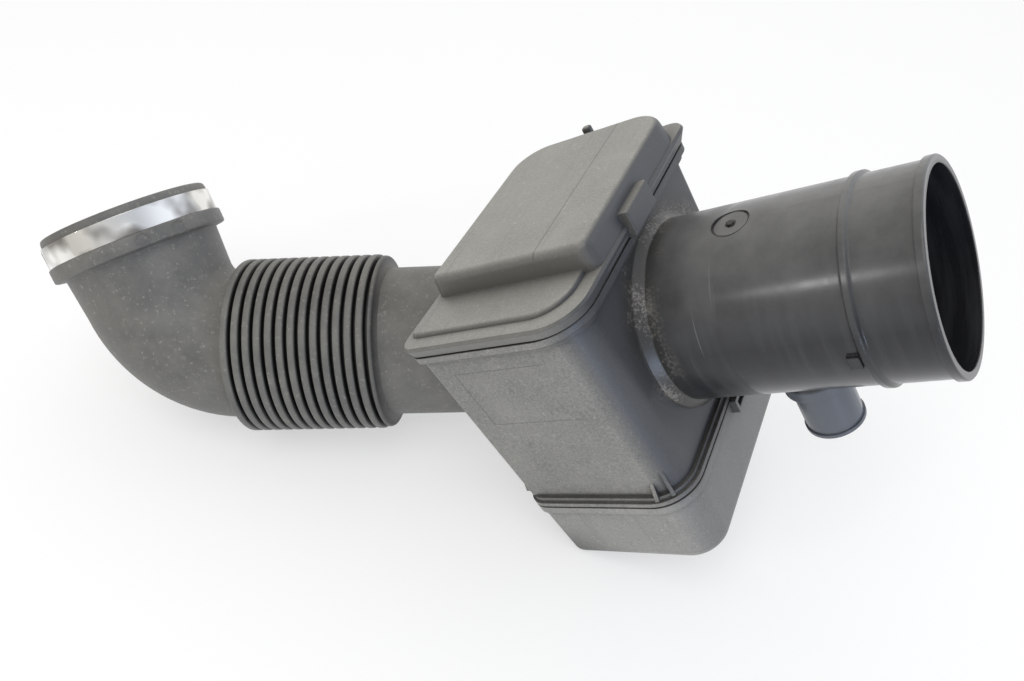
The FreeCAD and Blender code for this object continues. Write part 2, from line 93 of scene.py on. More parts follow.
def add(tree, kind, inputs=None, **settings):
    """A node with its settings; an input takes a value, or another node's output to link."""
    node = tree.nodes.new("ShaderNode" + kind)
    for name, value in settings.items():
        setattr(node, name, value)
    for name, value in (inputs or {}).items():
        if isinstance(value, bpy.types.NodeSocket):
            tree.links.new(value, node.inputs[name])
        else:
            node.inputs[name].default_value = value
    return node


def blank_material(name):
    """A material with only its output, and the tree to fill."""
    material = bpy.data.materials.new(name)
    material.use_nodes = True
    tree = material.node_tree
    tree.nodes.clear()
    return material, tree, tree.nodes.new("ShaderNodeOutputMaterial")


def dress(name, material):
    """Gives a solid of the frame its finish."""
    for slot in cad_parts[name].material_slots:
        slot.material = material


def duct_place(tree):
    """Object coordinates turned back to the duct's own axes, with X along the pipe."""
    spot = add(tree, "TexCoord").outputs["Object"]
    return add(tree, "Mapping", {"Vector": spot, "Location": RIM_CENTRE, "Rotation": (0, -RESTING_TILT, 0)},
               vector_type="TEXTURE").outputs["Vector"]


def moulded_walls(tree, own, grey, dust):
    """Grained polypropylene: soft dusty patches, fine pale specks, rubbed streaks, painted shade in the
    corners and on the faces on the pipe's side, and the moulding's fine grain, drawn at 1.1 mm, coarser
    than the real one, so that it shows."""
    cloud = add(tree, "TexNoise", {"Vector": own, "Scale": 1 / 0.03, "Detail": 7.0, "Roughness": 0.66})
    speck = add(tree, "TexNoise", {"Vector": own, "Scale": 1 / 0.0023, "Detail": 3.0, "Roughness": 0.75})
    grain = add(tree, "TexNoise", {"Vector": own, "Scale": 1 / 0.0011, "Detail": 3.0, "Roughness": 0.65})
    slanted = add(tree, "Mapping", {"Vector": own, "Rotation": (0.5, 0.4, 0.6),
                                    "Scale": (1 / 0.004, 1 / 0.05, 1 / 0.05)})
    streak = add(tree, "TexNoise", {"Vector": slanted.outputs["Vector"], "Scale": 1.0, "Detail": 4.0})
    patches = add(tree, "MapRange", {"Value": cloud.outputs["Fac"], "From Min": 0.36, "From Max": 0.66})
    colour = add(tree, "Mix", {0: patches.outputs["Result"], 6: linear(grey), 7: linear(dust)},
                 data_type="RGBA")
    rubbed = add(tree, "MapRange", {"Value": streak.outputs["Fac"],
                                    "From Min": 0.56, "From Max": 0.78, "To Max": 0.45})
    colour = add(tree, "Mix", {0: rubbed.outputs["Result"], 6: colour.outputs[2], 7: linear(RUBBED_GREY)},
                 data_type="RGBA")
    mottle = add(tree, "MapRange", {"Value": grain.outputs["Fac"],
                                    "From Min": 0.35, "From Max": 0.65, "To Max": 0.4})
    colour = add(tree, "Mix", {0: mottle.outputs["Result"], 6: colour.outputs[2], 7: linear(GRAIN_GREY)},
                 data_type="RGBA")
    settled = add(tree, "MapRange", {"Value": speck.outputs["Fac"],
                                     "From Min": 0.6, "From Max": 0.78, "To Max": 0.6})
    colour = add(tree, "Mix", {0: settled.outputs["Result"], 6: colour.outputs[2], 7: linear(SPECK)},
                 data_type="RGBA")
    # Painted shade: the corners darken by how closely the surfaces round them close in.
    corner = add(tree, "AmbientOcclusion", {"Distance": 0.03}, samples=6)
    painted_corner_shade = add(tree, "MapRange", {"Value": corner.outputs["AO"],
                                  "From Min": 0.98, "From Max": 0.5, "To Max": 0.8})
    colour = add(tree, "Mix", {0: painted_corner_shade.outputs["Result"], 6: colour.outputs[2], 7: linear(CORNER_PAINTED_SHADE)},
                 data_type="RGBA")
    # One picture can't tell whether that is less dust or shade. The faces on the pipe's side are
    # darker and colder in the photograph, and are painted darker and colder here as painted shade;
    # the colour is only part of the way to what the photograph shows.
    normal = add(tree, "NewGeometry").outputs["Normal"]
    pipe_way = LAID_DOWN.to_3x3().col[0]
    facing = add(tree, "VectorMath", {0: normal, 1: pipe_way}, operation="DOT_PRODUCT")
    painted_side_shade = add(tree, "MapRange", {"Value": facing.outputs["Value"],
                                    "From Min": 0.25, "From Max": 0.75, "To Max": 0.88})
    height = add(tree, "SeparateXYZ", {"Vector": own}).outputs["Z"]
    side_shade_above_tray = add(tree, "MapRange", {"Value": height, "From Min": TRAY_TOP_Z - TRAY_FADE,
                                   "From Max": TRAY_TOP_Z, "To Min": 0.5})
    painted_side_shade = add(tree, "Math", {0: painted_side_shade.outputs["Result"], 1: side_shade_above_tray.outputs["Result"]},
                 operation="MULTIPLY")
    colour = add(tree, "Mix", {0: painted_side_shade.outputs["Value"], 6: colour.outputs[2], 7: linear(PIPE_SIDE_PAINTED_SHADE)},
                 data_type="RGBA")
    return colour.outputs[2], grain.outputs["Fac"], cloud.outputs["Fac"]


body_plastic, tree, output = blank_material("Injection moulded polypropylene, grained box and polished pipe")
own = duct_place(tree)
axes = add(tree, "SeparateXYZ", {"Vector": own})
box_colour, grain, cloud = moulded_walls(tree, own, BOX_GREY, BOX_DUST)
# Faint lines run round a plain panel on the front, above it, below it and on its left. The core is
# shifted past the panel's right side, so no line is left there.
inside_x = add(tree, "Math", {0: axes.outputs["X"], 1: PANEL_MIDDLE_X, 2: PANEL_HALF_X}, operation="COMPARE")
inside_z = add(tree, "Math", {0: axes.outputs["Z"], 1: PANEL_MIDDLE_Z, 2: PANEL_HALF_Z}, operation="COMPARE")
core_x = add(tree, "Math", {0: axes.outputs["X"], 1: PANEL_MIDDLE_X + PANEL_OPEN_SHIFT,
                            2: PANEL_HALF_X + PANEL_OPEN_SHIFT - PANEL_LEFT_LINE}, operation="COMPARE")
core_z = add(tree, "Math", {0: axes.outputs["Z"], 1: PANEL_MIDDLE_Z, 2: PANEL_HALF_Z - PANEL_LINE},
             operation="COMPARE")
panel = add(tree, "Math", {0: inside_x.outputs["Value"], 1: inside_z.outputs["Value"]}, operation="MULTIPLY")
core = add(tree, "Math", {0: core_x.outputs["Value"], 1: core_z.outputs["Value"]}, operation="MULTIPLY")
panel_line = add(tree, "Math", {0: panel.outputs["Value"], 1: core.outputs["Value"]},
                 operation="SUBTRACT", use_clamp=True)
front_only = add(tree, "MapRange", {"Value": axes.outputs["Y"], "From Min": PANEL_FACE_Y,
                                    "From Max": PANEL_FACE_Y - PANEL_FACE_FADE, "To Max": 0.4})
panel_line = add(tree, "Math", {0: panel_line.outputs["Value"], 1: front_only.outputs["Result"]},
                 operation="MULTIPLY")
box_colour = add(tree, "Mix", {0: panel_line.outputs["Value"], 6: box_colour, 7: linear(LINE_GREY)},
                 data_type="RGBA").outputs[2]
# Pipe is what lies within its root's radius in front of the box's wall, and all that stands well out.
across = add(tree, "CombineXYZ", {"Y": axes.outputs["Y"], "Z": axes.outputs["Z"]})
radius = add(tree, "VectorMath", {0: across.outputs["Vector"]}, operation="LENGTH").outputs["Value"]
on_axis = add(tree, "MapRange", {"Value": radius, "From Min": PIPE_ROOT_R,
                                 "From Max": PIPE_ROOT_R - SOFT_EDGE})
past_root = add(tree, "MapRange", {"Value": axes.outputs["X"], "From Min": -PIPE_LENGTH - 0.0001,
                                   "From Max": -PIPE_LENGTH + 0.0003})
well_out = add(tree, "MapRange", {"Value": axes.outputs["X"], "From Min": PIPE_ALONE_X - 0.001,
                                  "From Max": PIPE_ALONE_X})
near_root = add(tree, "Math", {0: on_axis.outputs["Result"], 1: past_root.outputs["Result"]},
                operation="MULTIPLY")
is_pipe = add(tree, "Math", {0: near_root.outputs["Value"], 1: well_out.outputs["Result"]},
              operation="MAXIMUM").outputs["Value"]
# The pipe's scuffs run round it, so their pattern is drawn long across the axis and short along it.
# Next to the box it is dull, with a few fine scratches. Its top is painted paler, partly dust and
# partly painted sheen, and the spigot paler and bluish, a painted reflection, to match the photograph.
rubbed = add(tree, "Mapping", {"Vector": own, "Scale": (1 / 0.005, 1 / 0.05, 1 / 0.05)})
scuffs = add(tree, "TexNoise", {"Vector": rubbed.outputs["Vector"], "Scale": 1.0, "Detail": 3.0})
rubs = add(tree, "MapRange", {"Value": scuffs.outputs["Fac"],
                              "From Min": 0.45, "From Max": 0.75, "To Max": 0.6})
dull = add(tree, "MapRange", {"Value": axes.outputs["X"], "From Min": -PIPE_LENGTH + DULL_LENGTH + SOFT_EDGE,
                              "From Max": -PIPE_LENGTH + DULL_LENGTH - SOFT_EDGE})
pipe_colour = add(tree, "Mix", {0: rubs.outputs["Result"], 6: linear(PIPE_BLACK), 7: linear(PIPE_SCUFF)},
                  data_type="RGBA")
# Painted sheen with dust: the pipe's top is drawn paler, more so higher up.
top_dust_and_sheen = add(tree, "MapRange", {"Value": axes.outputs["Z"],
                              "From Min": SHEEN_LOW_Z, "From Max": SHEEN_HIGH_Z, "To Max": 0.95})
dust_and_sheen_noise = add(tree, "MapRange", {"Value": cloud, "From Min": 0.3, "From Max": 0.6, "To Min": 0.55})
outside = add(tree, "MapRange", {"Value": radius, "From Min": PIPE_SKIN_R - SOFT_EDGE,
                                 "From Max": PIPE_SKIN_R})
top_dust_and_sheen = add(tree, "Math", {0: top_dust_and_sheen.outputs["Result"], 1: dust_and_sheen_noise.outputs["Result"]}, operation="MULTIPLY")
top_dust_and_sheen = add(tree, "Math", {0: top_dust_and_sheen.outputs["Value"], 1: outside.outputs["Result"]}, operation="MULTIPLY")
pipe_colour = add(tree, "Mix", {0: top_dust_and_sheen.outputs["Value"], 6: pipe_colour.outputs[2], 7: linear(PIPE_DUST_AND_SHEEN)},
                  data_type="RGBA")
# Painted reflection: the spigot is drawn paler and bluish, as cold light would make it.
below = add(tree, "MapRange", {"Value": axes.outputs["Z"], "From Min": SPIGOT_TOP_Z,
                               "From Max": SPIGOT_TOP_Z - 0.002})
pipe_colour = add(tree, "Mix", {0: below.outputs["Result"], 6: pipe_colour.outputs[2],
                                7: linear(SPIGOT_PAINTED_REFLECTION)}, data_type="RGBA")
scored = add(tree, "Mapping", {"Vector": own, "Rotation": (0.9, 0.3, 0.5),
                               "Scale": (1 / 0.0009, 1 / 0.06, 1 / 0.06)})
scratch = add(tree, "TexNoise", {"Vector": scored.outputs["Vector"], "Scale": 1.0, "Detail": 1.0})
scratch = add(tree, "MapRange", {"Value": scratch.outputs["Fac"],
                                 "From Min": 0.7, "From Max": 0.76, "To Max": 0.5})
scratch = add(tree, "Math", {0: scratch.outputs["Result"], 1: dull.outputs["Result"]}, operation="MULTIPLY")
pipe_colour = add(tree, "Mix", {0: scratch.outputs["Value"], 6: pipe_colour.outputs[2], 7: linear(SCRATCH)},
                  data_type="RGBA")
# The gate's flat disc has a black outline and a black middle.
from_gate = add(tree, "VectorMath", {0: own, 1: GATE_PLACE}, operation="DISTANCE").outputs["Value"]
gate_edge = add(tree, "Math", {0: from_gate, 1: GATE_R - GATE_RIM_INSET, 2: GATE_RIM_HALF},
                operation="COMPARE")
gate_middle = add(tree, "Math", {0: from_gate, 1: GATE_DIMPLE_R}, operation="LESS_THAN")
gate_dirt = add(tree, "Math", {0: gate_edge.outputs["Value"], 1: gate_middle.outputs["Value"]},
                operation="MAXIMUM")
pipe_colour = add(tree, "Mix", {0: gate_dirt.outputs["Value"], 6: pipe_colour.outputs[2],
                                7: linear(GATE_DIRT)}, data_type="RGBA")
colour = add(tree, "Mix", {0: is_pipe, 6: box_colour, 7: pipe_colour.outputs[2]}, data_type="RGBA")
# Painted shade darkens the corner round the pipe's root, and pale grime is caught there, thick in places and
# bare in others.
root_shade_and_grime_reach = add(tree, "MapRange", {"Value": axes.outputs["X"], "From Min": -PIPE_LENGTH + ROOT_SHADE_AND_GRIME_REACH,
                                    "From Max": -PIPE_LENGTH + ROOT_SHADE_AND_GRIME_FULL})
outer_only = add(tree, "MapRange", {"Value": axes.outputs["X"], "From Min": -PIPE_LENGTH - ROOT_WALL_SKIN,
                                    "From Max": -PIPE_LENGTH - SOFT_EDGE})
root_shade_and_grime_reach = add(tree, "Math", {0: root_shade_and_grime_reach.outputs["Result"], 1: outer_only.outputs["Result"]},
                 operation="MULTIPLY")
# Painted shade: a dark ring on the box's wall round the pipe's root.
root_shade_ring = add(tree, "MapRange", {"Value": radius, "From Min": ROOT_SHADE_R,
                                   "From Max": ROOT_SHADE_FULL_R, "To Max": 0.8})
root_painted_shade = add(tree, "Math", {0: root_shade_ring.outputs["Result"], 1: root_shade_and_grime_reach.outputs["Value"]},
                operation="MULTIPLY")
colour = add(tree, "Mix", {0: root_painted_shade.outputs["Value"], 6: colour.outputs[2], 7: linear(ROOT_PAINTED_SHADE)},
             data_type="RGBA")
grime_edge = add(tree, "MapRange", {"Value": radius, "From Min": GRIME_R, "From Max": GRIME_FULL_R})
grime_noise = add(tree, "TexNoise", {"Vector": own, "Scale": 1 / 0.0013, "Detail": 3.0, "Roughness": 0.7})
grime_cloud = add(tree, "TexNoise", {"Vector": own, "Scale": 1 / 0.018, "Detail": 3.0})
grime_sum = add(tree, "Math", {0: grime_noise.outputs["Fac"], 1: grime_cloud.outputs["Fac"]}, operation="ADD")
grime_spots = add(tree, "MapRange", {"Value": grime_sum.outputs["Value"],
                                     "From Min": 1.02, "From Max": 1.3, "To Max": 0.75})
grime = add(tree, "Math", {0: grime_edge.outputs["Result"], 1: grime_spots.outputs["Result"]},
            operation="MULTIPLY")
grime = add(tree, "Math", {0: grime.outputs["Value"], 1: root_shade_and_grime_reach.outputs["Value"]}, operation="MULTIPLY")
colour = add(tree, "Mix", {0: grime.outputs["Value"], 6: colour.outputs[2], 7: linear(GRIME)},
             data_type="RGBA")
box_rough = add(tree, "MapRange", {"Value": cloud, "To Min": 0.34, "To Max": 0.52})
pipe_rough = add(tree, "MapRange", {"Value": scuffs.outputs["Fac"],
                                    "From Min": 0.3, "From Max": 0.75, "To Min": 0.18, "To Max": 0.27})
pipe_rough = add(tree, "Math", {0: dull.outputs["Result"], 1: 0.14, 2: pipe_rough.outputs["Result"]},
                 operation="MULTIPLY_ADD")
rough = add(tree, "Mix", {0: is_pipe, 2: box_rough.outputs["Result"], 3: pipe_rough.outputs["Value"]})
grained = add(tree, "MapRange", {"Value": is_pipe, "To Min": 0.3, "To Max": 0.05})
edges = add(tree, "Bevel", {"Radius": PLASTIC_EDGE_R}, samples=4)
bump = add(tree, "Bump", {"Height": grain, "Strength": grained.outputs["Result"], "Distance": GRAIN_DEPTH,
                          "Normal": edges.outputs["Normal"]})
shader = add(tree, "BsdfPrincipled", {"Base Color": colour.outputs[2], "Roughness": rough.outputs[0],
                                      "IOR": PLASTIC_IOR, "Normal": bump.outputs["Normal"]})
tree.links.new(shader.outputs["BSDF"], output.inputs["Surface"])
dress("duct_body", body_plastic)

# Covers: a shallow top and a deep bottom tray of the same plastic, welded on the body's flanges. They
# keep their mould's grain all over, and are paler with dust than the box.
COVER_GREY = "#7b7a75"
COVER_DUST = "#8b8983"
FRONT_WALL_PAINTED_SHADE = "#494743"
TOP_COVER_LOW_Z, TOP_COVER_Z = 0.04, 0.05
CROWN_LINE_X, CROWN_LINE_HALF = -0.144, 0.0004
CROWN_LOW_Z, CROWN_Z = 0.0765, 0.0775
cover_plastic, tree, output = blank_material("Injection moulded polypropylene, grained and dusty")
own = duct_place(tree)
colour, grain, cloud = moulded_walls(tree, own, COVER_GREY, COVER_DUST)
axes = add(tree, "SeparateXYZ", {"Vector": own})
# The top cover's front walls are darker in the photograph than what lies flat, and are painted darker as
# painted shade.
normal = add(tree, "NewGeometry").outputs["Normal"]
front_wall_shade = add(tree, "VectorMath", {0: normal, 1: (0, -1, 0)}, operation="DOT_PRODUCT")
front_wall_shade = add(tree, "MapRange", {"Value": front_wall_shade.outputs["Value"],
                                 "From Min": 0.15, "From Max": 0.8, "To Max": 0.6})
on_top = add(tree, "MapRange", {"Value": axes.outputs["Z"], "From Min": TOP_COVER_LOW_Z,
                                "From Max": TOP_COVER_Z})
front_wall_shade = add(tree, "Math", {0: front_wall_shade.outputs["Result"], 1: on_top.outputs["Result"]}, operation="MULTIPLY")
colour = add(tree, "Mix", {0: front_wall_shade.outputs["Value"], 6: colour, 7: linear(FRONT_WALL_PAINTED_SHADE)},
             data_type="RGBA").outputs[2]
# A faint straight line crosses the crown.
line = add(tree, "Math", {0: axes.outputs["X"], 1: CROWN_LINE_X, 2: CROWN_LINE_HALF}, operation="COMPARE")
crown_only = add(tree, "MapRange", {"Value": axes.outputs["Z"],
                                    "From Min": CROWN_LOW_Z, "From Max": CROWN_Z, "To Max": 0.5})
line = add(tree, "Math", {0: line.outputs["Value"], 1: crown_only.outputs["Result"]}, operation="MULTIPLY")
colour = add(tree, "Mix", {0: line.outputs["Value"], 6: colour, 7: linear(LINE_GREY)},
             data_type="RGBA").outputs[2]
rough = add(tree, "MapRange", {"Value": cloud, "To Min": 0.34, "To Max": 0.52})
edges = add(tree, "Bevel", {"Radius": PLASTIC_EDGE_R}, samples=4)
bump = add(tree, "Bump", {"Height": grain, "Strength": 0.3, "Distance": GRAIN_DEPTH,
                          "Normal": edges.outputs["Normal"]})
shader = add(tree, "BsdfPrincipled", {"Base Color": colour, "Roughness": rough.outputs["Result"],
                                      "IOR": PLASTIC_IOR, "Normal": bump.outputs["Normal"]})
tree.links.new(shader.outputs["BSDF"], output.inputs["Surface"])
dress("top_cover", cover_plastic)
dress("bottom_cover", cover_plastic)


def moulded_block(name, low, high, rounding):
    """A small block of the covers' plastic between two corners, its edges rounded."""
    size = Vector(high) - Vector(low)
    place = Matrix.Translation((Vector(high) + Vector(low)) / 2) @ Matrix.Diagonal(size).to_4x4()
    block = bmesh.new()
    bmesh.ops.create_cube(block, size=1.0, matrix=place)
    bmesh.ops.bevel(block, geom=block.edges[:], offset=rounding, offset_type="OFFSET", affect="EDGES",
                    segments=3, profile=0.5, material=-1)
    bmesh.ops.transform(block, matrix=LAID_DOWN, verts=block.verts[:])
    mesh = bpy.data.meshes.new(name)
    block.to_mesh(mesh)
    block.free()
    mesh.materials.append(cover_plastic)
    piece = bpy.data.objects.new(name, mesh)
    bpy.context.scene.collection.objects.link(piece)
    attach(piece, "root")


# The right clip has a closed face, and a tip on the back clip stands up past the crown. Each is
# given by its lowest and highest corner in the duct's own axes.
CLIP_FACE = (-0.1150, -0.0218, 0.0597), (-0.1110, 0.0038, 0.0718)
BACK_TIP = (-0.1740, 0.0715, 0.0705), (-0.1690, 0.0757, 0.0768)
CLIP_FACE_ROUND, BACK_TIP_ROUND = 0.0005, 0.0012
moulded_block("clip_face", *CLIP_FACE, CLIP_FACE_ROUND)
moulded_block("back_clip_tip", *BACK_TIP, BACK_TIP_ROUND)

# Rubber hose: one moulding, pushed on the box's stub: a plain cuff, a slight bend, thirteen
# grooves of bellows, an elbow, and a mouth with a collar below the clamp's seat. Its solid is
# drawn again here with the rounded crests, lips and corners that rubber has.
HOSE_R, HOSE_BORE_R = 0.0432, 0.0402
CUFF_START_X, CUFF_LENGTH = -0.215, 0.0115
HOSE_SWING, HOSE_RISE = math.radians(24.1), math.radians(25.3)
BEND_R = 0.065
RUN_LENGTH = 0.0395
CREST_R, GROOVE_R, BELLOWS_BORE_R = 0.0513, 0.0458, 0.0434
CREST_WIDTH, BELLOWS_PITCH, GROOVES = 0.0039, 0.0063, 13
CREST_ROUND = 0.0009
SHOULDER_DROP, SHOULDER_RISE, LAST_SLOPE = 0.0012, 0.0016, 0.0013
ELBOW_LEAD = 0.0045
ELBOW_R = 0.052
ELBOW_TURN, ELBOW_ROLL = math.radians(71.4), math.radians(20.1)
NECK_LENGTH, NECK_R = 0.0495, 0.0446
COLLAR_R, COLLAR_START, COLLAR_END = 0.0504, 0.0238, 0.0328
MOUTH_R, MOUTH_TIP_R, MOUTH_BORE_R, MOUTH_DEPTH = 0.0482, 0.0475, 0.0448, 0.022
COLLAR_SLOPE, TIP_SLOPE, SOCKET_SLOPE = 0.0008, 0.0023, 0.0046
LIP_ROUND = 0.0009
RING_R, RING_HEIGHT = 0.0034, 0.0284
RING_FOOT_HALF, RING_TOP_HALF, RING_SINK, RING_PROUD = 0.0007, 0.0003, 0.0006, 0.0003
RING_ANGLES = [math.radians(-57.3), math.radians(-81.2)]
ROUND_STEPS, BEND_STEPS, ELBOW_STEPS = 128, 10, 20
MERGE_WITHIN = 0.00002
SHARP_FROM = math.radians(40)
RUBBER_GREY, RUBBER_BLOOM, RUBBER_SPECK = "#595855", "#6f6d67", "#b5b1a7"
GROOVE_PAINTED_SHADE = "#151514"
RUBBER_IOR = 1.52
SKIN_DEPTH = 0.0003


def lathe(shape, outline, rounding, origin, heading, side):
    """Spins an outline of radius and height round a heading, with its inner corners rounded."""
    known = set(shape.verts)
    corners = [shape.verts.new((r, 0, z)) for r, z in outline]
    for pair in zip(corners, corners[1:]):
        shape.edges.new(pair)
    if rounding:
        bmesh.ops.bevel(shape, geom=corners[1:-1], offset=rounding, offset_type="OFFSET", affect="VERTICES",
                        segments=3, profile=0.5, material=-1)
    wire = [v for v in shape.verts if v not in known]
    lines = list({edge for v in wire for edge in v.link_edges})
    bmesh.ops.spin(shape, geom=wire + lines, cent=(0, 0, 0), axis=(0, 0, 1), angle=math.tau,
                   steps=ROUND_STEPS, use_merge=True)
    place = Matrix.Translation(origin) @ Matrix((side, heading.cross(side), heading)).transposed().to_4x4()
    bmesh.ops.transform(shape, matrix=place, verts=[v for v in shape.verts if v not in known])


def bend(shape, radius, origin, heading, side, axis, bend_radius, turn, steps):
    """Sweeps a ring round a bend."""
    place = Matrix.Translation(origin) @ Matrix((side, heading.cross(side), heading)).transposed().to_4x4()
    ring = bmesh.ops.create_circle(shape, segments=ROUND_STEPS, radius=radius, matrix=place)["verts"]
    lines = list({edge for v in ring for edge in v.link_edges})
    bmesh.ops.spin(shape, geom=ring + lines, cent=origin + axis.cross(heading) * bend_radius, axis=axis,
                   angle=turn, steps=steps)


shape = bmesh.new()
cuff = Vector((CUFF_START_X, 0, 0))
first = Vector((-1, 0, 0))
heading = Vector((-math.cos(HOSE_SWING) * math.cos(HOSE_RISE), -math.sin(HOSE_SWING) * math.cos(HOSE_RISE),
                  math.sin(HOSE_RISE)))
bend_axis = first.cross(heading).normalized()
bend_turn = first.angle(heading)
lathe(shape, [(HOSE_BORE_R, CUFF_LENGTH), (HOSE_BORE_R, 0), (HOSE_R, 0), (HOSE_R, CUFF_LENGTH)], LIP_ROUND,
      cuff, first, bend_axis)
bend_start = cuff + first * CUFF_LENGTH
for radius in (HOSE_R, HOSE_BORE_R):
    bend(shape, radius, bend_start, first, bend_axis, bend_axis, BEND_R, bend_turn, BEND_STEPS)
to_middle = bend_axis.cross(first)
run_start = bend_start + (first * math.sin(bend_turn) + to_middle * (1 - math.cos(bend_turn))) * BEND_R
for radius in (HOSE_R, HOSE_BORE_R):
    lathe(shape, [(radius, 0), (radius, RUN_LENGTH)], 0, run_start, heading, bend_axis)

bellows_start = run_start + heading * RUN_LENGTH
bellows_end = GROOVES * BELLOWS_PITCH + CREST_WIDTH
outline = [(HOSE_R, 0), (CREST_R - SHOULDER_DROP, SHOULDER_RISE), (CREST_R - SHOULDER_DROP / 2, CREST_WIDTH)]
for groove in range(GROOVES):
    crest_end = groove * BELLOWS_PITCH + CREST_WIDTH
    outline += [(CREST_R, crest_end)] if groove else []
    outline += [(GROOVE_R, crest_end), (GROOVE_R, crest_end + BELLOWS_PITCH - CREST_WIDTH),
                (CREST_R, crest_end + BELLOWS_PITCH - CREST_WIDTH)]
outline += [(CREST_R, bellows_end), (HOSE_R, bellows_end + LAST_SLOPE), (HOSE_R, bellows_end + ELBOW_LEAD)]
lathe(shape, outline, CREST_ROUND, bellows_start, heading, bend_axis)
lathe(shape, [(HOSE_BORE_R, 0), (BELLOWS_BORE_R, CREST_WIDTH), (BELLOWS_BORE_R, bellows_end),
              (HOSE_BORE_R, bellows_end + ELBOW_LEAD)], 0, bellows_start, heading, bend_axis)

elbow_start = bellows_start + heading * (bellows_end + ELBOW_LEAD)
upward = (Vector((0, 0, 1)) - heading * heading.z).normalized()
elbow_side = Matrix.Rotation(ELBOW_ROLL, 3, heading) @ upward
elbow_axis = heading.cross(elbow_side)
for radius in (HOSE_R, HOSE_BORE_R):
    bend(shape, radius, elbow_start, heading, bend_axis, elbow_axis, ELBOW_R, ELBOW_TURN, ELBOW_STEPS)
elbow_reach = heading * math.sin(ELBOW_TURN) + elbow_side * (1 - math.cos(ELBOW_TURN))
neck_start = elbow_start + elbow_reach * ELBOW_R
turned = Matrix.Rotation(ELBOW_TURN, 3, elbow_axis)
mouth_heading = turned @ heading
neck_side = turned @ bend_axis
lathe(shape, [(HOSE_R, 0), (NECK_R, COLLAR_START), (COLLAR_R, COLLAR_START + COLLAR_SLOPE),
              (COLLAR_R, COLLAR_END), (MOUTH_R, COLLAR_END), (MOUTH_R, NECK_LENGTH - TIP_SLOPE),
              (MOUTH_TIP_R, NECK_LENGTH), (MOUTH_BORE_R, NECK_LENGTH),
              (MOUTH_BORE_R, NECK_LENGTH - MOUTH_DEPTH),
              (HOSE_BORE_R, NECK_LENGTH - MOUTH_DEPTH - SOCKET_SLOPE), (HOSE_BORE_R, 0)],
      LIP_ROUND, neck_start, mouth_heading, neck_side)
# Two small rings are moulded on the collar.
for angle in RING_ANGLES:
    outward = Matrix.Rotation(angle, 3, mouth_heading) @ neck_side
    lathe(shape, [(RING_R - RING_FOOT_HALF, -RING_SINK), (RING_R - RING_TOP_HALF, RING_PROUD),
                  (RING_R + RING_TOP_HALF, RING_PROUD), (RING_R + RING_FOOT_HALF, -RING_SINK),
                  (RING_R - RING_FOOT_HALF, -RING_SINK)], 0,
          neck_start + mouth_heading * RING_HEIGHT + outward * COLLAR_R, outward, mouth_heading)
bmesh.ops.remove_doubles(shape, verts=shape.verts[:], dist=MERGE_WITHIN)
bmesh.ops.recalc_face_normals(shape, faces=shape.faces[:])
# How far a place stands out of the bellows' grooves, for the painted shade in them: 0 in a groove, 1 on a
# crest.
crest = shape.verts.layers.float.new("crest")
for vert in shape.verts:
    along = (vert.co - bellows_start).dot(heading)
    out = (vert.co - bellows_start - heading * along).length
    ribbed = 0 < along < bellows_end and out > (BELLOWS_BORE_R + GROOVE_R) / 2
    vert[crest] = min(1, max(0, (out - GROOVE_R) / (CREST_R - GROOVE_R))) if ribbed else 1.0
bmesh.ops.transform(shape, matrix=LAID_DOWN, verts=shape.verts[:])
for face in shape.faces:
    face.smooth = True
hose_mesh = bpy.data.meshes.new("hose")
shape.to_mesh(hose_mesh)
shape.free()
hose_mesh.set_sharp_from_angle(angle=SHARP_FROM)
hose = bpy.data.objects.new("hose", hose_mesh)
bpy.context.scene.collection.objects.link(hose)

# Moulded rubber is matt and dark grey. A dull bloom of dust lies on it in blotches, with pale specks;
# the grooves of the bellows are painted near black as painted shade.
hose_rubber, tree, output = blank_material("Moulded rubber, matt with a dusty bloom")
own = duct_place(tree)
blotch = add(tree, "TexNoise", {"Vector": own, "Scale": 1 / 0.022, "Detail": 6.0, "Roughness": 0.62})
fleck = add(tree, "TexNoise", {"Vector": own, "Scale": 1 / 0.0026, "Detail": 4.0, "Roughness": 0.75})
skin = add(tree, "TexNoise", {"Vector": own, "Scale": 1 / 0.0012, "Detail": 2.0})
bloom = add(tree, "MapRange", {"Value": blotch.outputs["Fac"], "From Min": 0.36, "From Max": 0.68})
colour = add(tree, "Mix", {0: bloom.outputs["Result"], 6: linear(RUBBER_GREY), 7: linear(RUBBER_BLOOM)},
             data_type="RGBA")
specks = add(tree, "MapRange", {"Value": fleck.outputs["Fac"],
                                "From Min": 0.58, "From Max": 0.76, "To Max": 0.6})
colour = add(tree, "Mix", {0: specks.outputs["Result"], 6: colour.outputs[2], 7: linear(RUBBER_SPECK)},
             data_type="RGBA")
# Painted shade: from groove to crest the colour goes from near black to the rubber's own.
stands_out = add(tree, "Attribute", attribute_name="crest").outputs["Fac"]
out_of_groove_shade = add(tree, "MapRange", {"Value": stands_out, "From Min": 0.5, "From Max": 0.95})
colour = add(tree, "Mix", {0: out_of_groove_shade.outputs["Result"], 6: linear(GROOVE_PAINTED_SHADE), 7: colour.outputs[2]},
             data_type="RGBA")
rough = add(tree, "MapRange", {"Value": blotch.outputs["Fac"],
                               "From Min": 0.3, "From Max": 0.7, "To Min": 0.42, "To Max": 0.62})
bump = add(tree, "Bump", {"Height": skin.outputs["Fac"], "Strength": 0.3, "Distance": SKIN_DEPTH})
shader = add(tree, "BsdfPrincipled", {"Base Color": colour.outputs[2], "Roughness": rough.outputs["Result"],
                                      "IOR": RUBBER_IOR, "Normal": bump.outputs["Normal"]})
tree.links.new(shader.outputs["BSDF"], output.inputs["Surface"])
hose_mesh.materials.append(hose_rubber)
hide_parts("rubber_hose")
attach(hose, "root")

